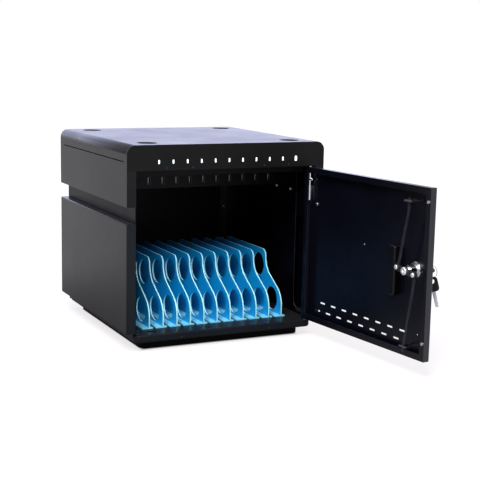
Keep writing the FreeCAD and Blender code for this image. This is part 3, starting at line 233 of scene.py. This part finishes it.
def moulded(name, colour, pale, gloss, pebble=1500.0, depth=0.00003, shine=0.5):
    """Moulded plastic or rubber with a fine tool texture."""
    material, tree, shader = start_material(name)
    grain = use(tree, coat_grain, Pebble_size=pebble)
    edges = use(tree, edge_wear, Width=0.0006, Amount=0.35)
    shade = spread(tree, grain.outputs["Shade"], 0.3, 0.7, 0.0, 1.0)
    base = blend_colours(tree, shade, colour, pale)
    base = blend_colours(tree, edges.outputs["Mask"], base, tuple(min(1.0, 1.4 * c + 0.01) for c in pale))
    feed(tree, base, shader.inputs["Base Color"])
    vary_gloss(tree, shader, grain.outputs["Shade"], gloss - 0.04, gloss + 0.06)
    bump(tree, shader, grain.outputs["Height"], depth)
    shader.inputs["Specular IOR Level"].default_value = shine
    return material


def lamp_window():
    """A milky window with a lamp close behind it."""
    material, tree, shader = start_material("lamp_window")
    grain = use(tree, coat_grain, Pebble_size=1200.0)
    glow = blend_colours(tree, grain.outputs["Shade"], (0.80, 0.90, 1.0), (1.0, 1.0, 1.0))
    feed(tree, glow, shader.inputs["Emission Color"])
    feed(tree, glow, shader.inputs["Base Color"])
    vary_gloss(tree, shader, grain.outputs["Shade"], 0.20, 0.32)
    bump(tree, shader, grain.outputs["Height"], 0.00001)
    shader.inputs["Emission Strength"].default_value = 0.75
    return material


def circuit_board():
    """Green lacquer over copper tracks."""
    material, tree, shader = start_material("circuit_board")
    where = place(tree, "ShaderNodeTexCoord").outputs["Object"]
    tracks = place(tree, "ShaderNodeTexBrick")
    tracks.inputs["Scale"].default_value = 120.0
    tracks.inputs["Mortar Size"].default_value = 0.05
    feed(tree, where, tracks.inputs["Vector"])
    edges = use(tree, edge_wear, Width=0.0006, Amount=0.5)
    base = blend_colours(tree, tracks.outputs["Fac"], (0.012, 0.10, 0.045), (0.03, 0.20, 0.09))
    base = blend_colours(tree, edges.outputs["Mask"], base, (0.22, 0.20, 0.10))
    feed(tree, base, shader.inputs["Base Color"])
    vary_gloss(tree, shader, noise(tree, where, 300.0), 0.3, 0.42)
    bump(tree, shader, tracks.outputs["Fac"], 0.00003)
    return material


# Paints of the sheet steel: colour, paler patches, bare edges, roughness
case_paint = powder_coat(
    "case_paint", (0.0085, 0.0078, 0.0082), (0.0165, 0.0152, 0.0158), (0.06, 0.06, 0.065), 0.28,
    wear=0.35, dust=0.15, shine=0.066)
# A darker, duller copy of the case paint for the grip channels: painted shade in the recess.
groove_painted_shade = powder_coat(
    "groove_painted_shade", (0.0050, 0.0045, 0.0048), (0.0100, 0.0092, 0.0096), (0.05, 0.05, 0.055), 0.34,
    wear=0.3, dust=0.2, shine=0.035)
# A bluer, glossier copy of the case paint for faces turned to the front: painted cool front light.
front_painted_light = powder_coat(
    "front_painted_light", (0.0040, 0.0064, 0.0090), (0.0080, 0.0110, 0.0150), (0.05, 0.05, 0.055), 0.26,
    wear=0.3, dust=0.0, shine=0.13)
fascia_paint = powder_coat(
    "fascia_paint", (0.0035, 0.0035, 0.0035), (0.007, 0.007, 0.007), (0.04, 0.04, 0.04), 0.34,
    wear=0.25, shine=0.11)
# A near-black, bluish copy of the case paint for the inside of the cabinet: painted shade.
inside_painted_shade = powder_coat(
    "inside_painted_shade", (0.0006, 0.0004, 0.0012), (0.0013, 0.0010, 0.0026), (0.04, 0.044, 0.06), 0.36,
    wear=0.45, dust=0.05, shine=0.10)
# A darker, bluer copy of the case paint for the door: painted shade and a painted cool reflection on its
# inner face.
door_painted_shade = powder_coat(
    "door_painted_shade", (0.0012, 0.0014, 0.0036), (0.0026, 0.0026, 0.0066), (0.05, 0.05, 0.075), 0.30,
    wear=0.4, dust=0.1, shine=0.18)
# A paler, glossier copy of the door paint for front-facing lips and edges: painted highlight.
lip_painted_highlight = powder_coat(
    "lip_painted_highlight", (0.0050, 0.0044, 0.0095), (0.0090, 0.0082, 0.0150), (0.06, 0.06, 0.08), 0.30,
    wear=0.4, dust=0.1, shine=0.42)

# Plastics, metals and rubber
divider_plastic = moulded("divider_plastic", (0.002, 0.30, 0.64), (0.004, 0.37, 0.76), 0.32, depth=0.00001)
# Paler blues for the cut edges and the feet of the dividers: painted light where the light falls on them.
divider_edge = moulded("divider_edge", (0.44, 0.95, 1.0), (0.55, 0.98, 1.0), 0.30, depth=0.00001)
divider_foot = moulded("divider_foot", (0.20, 0.74, 0.96), (0.28, 0.82, 1.0), 0.32, depth=0.00001)
black_steel = powder_coat(
    "black_steel", (0.004, 0.004, 0.006), (0.010, 0.010, 0.013), (0.16, 0.16, 0.18), 0.32,
    pebble=1600.0, depth=0.00002, wear=0.7, dust=0.05, shine=0.35)
dark_nickel = plated_metal("dark_nickel", (0.05, 0.05, 0.055), (0.02, 0.02, 0.022), 0.35)
bright_nickel = plated_metal("bright_nickel", (0.92, 0.92, 0.94), (0.80, 0.80, 0.83), 0.34)
zinc = plated_metal("zinc", (0.66, 0.67, 0.70), (0.40, 0.41, 0.44), 0.28)
# A zinc finish placed on the crowns of the rod guides: a painted glint.
guide_painted_glint = plated_metal("guide_painted_glint", (0.17, 0.17, 0.19), (0.10, 0.10, 0.12), 0.42)
chrome = plated_metal("chrome", (0.86, 0.87, 0.90), (0.70, 0.71, 0.74), 0.12)
brass = plated_metal("brass", (0.80, 0.62, 0.30), (0.55, 0.40, 0.18), 0.30)
satin_aluminium = plated_metal("satin_aluminium", (0.66, 0.66, 0.68), (0.48, 0.48, 0.50), 0.38)
black_plastic = moulded("black_plastic", (0.004, 0.004, 0.005), (0.009, 0.009, 0.010), 0.38, shine=0.25)
cup_plastic = powder_coat(
    "cup_plastic", (0.001, 0.001, 0.0014), (0.002, 0.002, 0.003), (0.05, 0.05, 0.06), 0.30,
    pebble=1500.0, depth=0.00002, wear=0.03, dust=0.0, shine=0.16)
plinth_plastic = powder_coat(
    "plinth_plastic", (0.002, 0.002, 0.002), (0.004, 0.004, 0.004), (0.02, 0.02, 0.02), 0.5,
    wear=0.1, dust=0.0, shine=0.06)
rubber = moulded("rubber", (0.010, 0.010, 0.010), (0.020, 0.020, 0.020), 0.75)
pale_rubber = moulded("pale_rubber", (0.20, 0.20, 0.21), (0.27, 0.27, 0.28), 0.5)
white_plastic = moulded("white_plastic", (0.72, 0.72, 0.70), (0.82, 0.82, 0.80), 0.30)
wire_cover = moulded("wire_cover", (0.02, 0.02, 0.02), (0.04, 0.04, 0.04), 0.35)
window_milk = lamp_window()
board_lacquer = circuit_board()

# Which piece gets which finish, painted shade or painted highlight
dividers = ["divider_%02d" % number for number in range(1, 12)]
skins = ["hood", "side_skin_left", "side_skin_right"]
grooves = ["grip_channel_left", "grip_channel_right"]
liners = ["liner_left", "liner_right"]
finishes = {
    groove_painted_shade: grooves,
    case_paint: [*skins, "floor_tray"],
    fascia_paint: ["fascia"],
    inside_painted_shade: [*liners, "electronics_shelf", "door_stop", "back_panel"],
    door_painted_shade: ["door_panel", "hinge_barrel"],
    divider_plastic: dividers,
    black_steel: ["upper_rod", "lower_rod", "rod_guides", "lock_cam"],
    dark_nickel: ["usb_shells", "front_screws"],
    zinc: ["cabinet_screws", "lock_nut", "bracket_screw", "hinge_spring", "lower_hinge_pin",
           "key_blade", "key_ring", "spare_key_blade"],
    chrome: ["lock_housing", "hinge_bolt", "lock_plug"],
    bright_nickel: ["cam_fasteners"],
    brass: ["inlet_pins", "earth_stud"],
    satin_aluminium: ["power_supply"],
    black_plastic: ["mains_inlet", "key_bow", "spare_key_bow", "switch_rocker"],
    cup_plastic: ["finger_cup"],
    plinth_plastic: ["plinth"],
    rubber: ["rubber_feet"],
    pale_rubber: ["door_bumpers"],
    white_plastic: ["usb_tongues", "hinge_bush"],
    wire_cover: ["wiring"],
    window_milk: ["indicator_windows"],
    board_lacquer: ["indicator_board", "charger_board"],
}
for material, names in finishes.items():
    for name in names:
        mesh = nodes[name].data
        mesh.materials.clear()
        mesh.materials.append(material)


# Faces of a piece with a finish, painted light or painted shade of their own
def refinish(name, material, chosen):
    """Give the faces for which chosen(middle, normal) holds a second material."""
    mesh = nodes[name].data
    mesh.materials.append(material)
    spot = len(mesh.materials) - 1
    for face in mesh.polygons:
        if chosen(face.center, face.normal):
            face.material_index = spot


# Divider feet lie on the tray; the feet and the cut edges get a paler blue, painted light
foot_top = 0.0355
for name in dividers:
    refinish(name, divider_foot, lambda middle, normal: middle.z < foot_top)
    refinish(name, divider_edge, lambda middle, normal: middle.z > foot_top
             and abs(normal.x) < 0.3 and normal.y < 0.35)

# The hinge's tube is bare zinc; its bolt's tip is dark nickel, a painted shade under the fascia
hinge_line = Vector((0.1743, -0.1925))
tube_reach = 0.0043
bolt_tip = 0.3325
refinish("hinge_barrel", zinc, lambda middle, normal: (middle.xy - hinge_line).length < tube_reach)
refinish("hinge_bolt", dark_nickel, lambda middle, normal: middle.z > bolt_tip)

# Outer face of the back in case paint; inner faces of the skins in painted shade; front faces of the liners
# in painted highlight, of the tray and skins in painted cool front light
refinish("back_panel", case_paint, lambda middle, normal: normal.y > 0.5)
for name in (*skins, *grooves):
    refinish(name, inside_painted_shade, lambda middle, normal: middle.x * normal.x < 0.0 and abs(normal.x) > 0.5)
for name in liners:
    refinish(name, lip_painted_highlight, lambda middle, normal: normal.y < -0.5)
for name in ("floor_tray", "side_skin_left", "side_skin_right"):
    refinish(name, front_painted_light, lambda middle, normal: normal.y < -0.9)

# The open door: painted highlight on its lips, and a painted glint of zinc on the crowns of the rod guides
door_angle = math.radians(96.0)
outward = Vector((math.cos(door_angle), math.sin(door_angle), 0.0)) * -1.0
inward = Vector((-math.sin(door_angle), math.cos(door_angle), 0.0))
glint_depth = 0.0025
crown = max(inward.dot(point.co) for point in nodes["rod_guides"].data.vertices) - glint_depth
refinish("door_panel", lip_painted_highlight, lambda middle, normal: normal.dot(outward) > 0.6 or normal.z > 0.6)
refinish("rod_guides", guide_painted_glint, lambda middle, normal: inward.dot(middle) > crown)


# Softened edges on folded and cut sheet
def soften(name, width, steps=2):
    """Break the sharp edges of a piece by a small width."""
    piece = nodes[name]
    weld = piece.modifiers.new("weld", "WELD")
    weld.merge_threshold = 0.00002
    bevel = piece.modifiers.new("soft_edges", "BEVEL")
    bevel.width = width
    bevel.segments = steps
    bevel.limit_method = "ANGLE"
    bevel.angle_limit = math.radians(40)
    bevel.harden_normals = True


bent_edge = 0.0006
cut_edge = 0.0004
for name in (*skins, *grooves, "floor_tray", "fascia", *liners, "electronics_shelf", "door_stop", "plinth"):
    soften(name, bent_edge)
for name in ("door_panel", "finger_cup", "upper_rod", "lower_rod", "rod_guides", "lock_cam", *dividers):
    soften(name, cut_edge)


# Camera, floor and light
def aim(position, azimuth, elevation, roll):
    """Where a camera stands that looks along the given angles, in degrees."""
    a, e, r = (math.radians(x) for x in (azimuth, elevation, roll))
    back = Vector((math.sin(a) * math.cos(e), -math.cos(a) * math.cos(e), math.sin(e)))
    level = Vector((math.cos(a), math.sin(a), 0.0))
    upright = back.cross(level)
    right = level * math.cos(r) + upright * math.sin(r)
    up = back.cross(right)
    turn = Matrix((right, up, back)).transposed().to_4x4()
    return Matrix.Translation(position) @ turn


camera = bpy.data.objects.new("camera", bpy.data.cameras.new("camera"))
camera.data.sensor_width = 36.0
camera.data.lens = 84.2
camera.data.clip_end = 100.0
camera.matrix_world = aim(Vector((-0.8832, -2.0592, 0.5540)), -26.01, 9.74, 1.14)
bpy.context.scene.collection.objects.link(camera)
bpy.context.scene.camera = camera


def seen_by_eye(tree, mirrored=1.0):
    """1 for camera and see-through rays, mirrored for mirror rays, 0 for the rays that only carry light."""
    path = place(tree, "ShaderNodeLightPath")
    mirror = math_node(tree, "MULTIPLY", path.outputs["Is Glossy Ray"], mirrored)
    total = math_node(tree, "MAXIMUM", path.outputs["Is Camera Ray"], mirror)
    return math_node(tree, "MAXIMUM", total, path.outputs["Is Transmission Ray"])


def away_from(tree, where, piece):
    """How far a point of the floor lies outside a piece's outline, below 0 under it."""
    low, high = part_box(piece)
    split = place(tree, "ShaderNodeSeparateXYZ")
    feed(tree, where, split.inputs["Vector"])
    sides = []
    for axis in range(2):
        middle, half = (low[axis] + high[axis]) / 2, (high[axis] - low[axis]) / 2
        offset = math_node(tree, "ABSOLUTE", math_node(tree, "SUBTRACT", split.outputs[axis], middle), 0.0)
        sides.append(math_node(tree, "SUBTRACT", offset, half))
    return math_node(tree, "MAXIMUM", sides[0], sides[1])


def make_floor():
    """A pale floor that looks white and keeps the shadow, with painted shade: no glow under the plinth, and
    mirror rays see it darker close to the cabinet.
    """
    mesh = bpy.data.meshes.new("floor")
    half = 14.0
    corners = [(-half, -half, 0), (half, -half, 0), (half, half, 0), (-half, half, 0)]
    mesh.from_pydata(corners, [], [(0, 1, 2, 3)])
    floor = bpy.data.objects.new("floor", mesh)
    bpy.context.scene.collection.objects.link(floor)
    material = bpy.data.materials.new("pale_floor")
    material.use_nodes = True
    tree = material.node_tree
    tree.nodes.clear()
    matt = place(tree, "ShaderNodeBsdfDiffuse")
    matt.inputs["Color"].default_value = (0.25, 0.25, 0.25, 1.0)
    glow = place(tree, "ShaderNodeEmission")
    glow.inputs["Color"].default_value = (1.0, 0.972, 0.976, 1.0)
    where = place(tree, "ShaderNodeTexCoord").outputs["Object"]
    distance = place(tree, "ShaderNodeVectorMath", operation="LENGTH")
    feed(tree, where, distance.inputs[0])
    level = spread(tree, distance.outputs["Value"], 0.5, 3.0, 0.78, 0.99)
    # Painted shade under the cabinet: the glow is cut to nothing beneath the plinth.
    uncovered = spread(tree, away_from(tree, where, "plinth"), -0.01, 0.0, 0.0, 1.0)
    level = math_node(tree, "MULTIPLY", level, uncovered)
    # Painted shadow in reflections: mirror rays see the floor darker close to the cabinet.
    shade = spread(tree, away_from(tree, where, "hood"), 0.02, 0.48, 0.06, 1.0)
    feed(tree, math_node(tree, "MULTIPLY", seen_by_eye(tree, shade), level), glow.inputs["Strength"])
    both = place(tree, "ShaderNodeAddShader")
    feed(tree, matt.outputs["BSDF"], both.inputs[0])
    feed(tree, glow.outputs["Emission"], both.inputs[1])
    feed(tree, both.outputs["Shader"], place(tree, "ShaderNodeOutputMaterial").inputs["Surface"])
    mesh.materials.append(material)


def make_surroundings():
    """White where it is seen, a low even fill for the light."""
    world = bpy.data.worlds.new("studio")
    bpy.context.scene.world = world
    world.use_nodes = True
    tree = world.node_tree
    tree.nodes.clear()
    bright = place(tree, "ShaderNodeBackground")
    bright.inputs["Color"].default_value = (1.0, 1.0, 1.0, 1.0)
    bright.inputs["Strength"].default_value = 1.0
    fill = place(tree, "ShaderNodeBackground")
    fill.inputs["Color"].default_value = (0.92, 0.95, 1.0, 1.0)
    fill.inputs["Strength"].default_value = 0.30
    pick = place(tree, "ShaderNodeMixShader")
    feed(tree, seen_by_eye(tree), pick.inputs["Fac"])
    feed(tree, fill.outputs["Background"], pick.inputs[1])
    feed(tree, bright.outputs["Background"], pick.inputs[2])
    feed(tree, pick.outputs["Shader"], place(tree, "ShaderNodeOutputWorld").inputs["Surface"])


def softbox(name, position, target, width, height, watts, colour):
    """A rectangular lamp that faces the target."""
    data = bpy.data.lights.new(name, "AREA")
    data.shape = "RECTANGLE"
    data.size = width
    data.size_y = height
    data.energy = watts
    data.color = colour
    lamp = bpy.data.objects.new(name, data)
    lamp.location = position
    lamp.visible_camera = False
    lamp.rotation_euler = (Vector(target) - Vector(position)).to_track_quat("-Z", "Y").to_euler()
    bpy.context.scene.collection.objects.link(lamp)


make_floor()
make_surroundings()
softbox("front_softbox", (-1.1, -1.6, 2.0), (0.0, -0.15, 0.1), 1.2, 1.0, 85.0, (0.92, 0.94, 1.0))
softbox("top_softbox", (0.2, 0.2, 2.4), (0.0, 0.0, 0.2), 2.0, 2.0, 30.0, (0.96, 0.96, 1.0))
softbox("rear_softbox", (0.2, 2.6, 1.2), (0.0, 0.0, 0.4), 4.0, 1.8, 40.0, (0.53, 0.585, 1.0))

bpy.context.scene.view_settings.view_transform = "Standard"
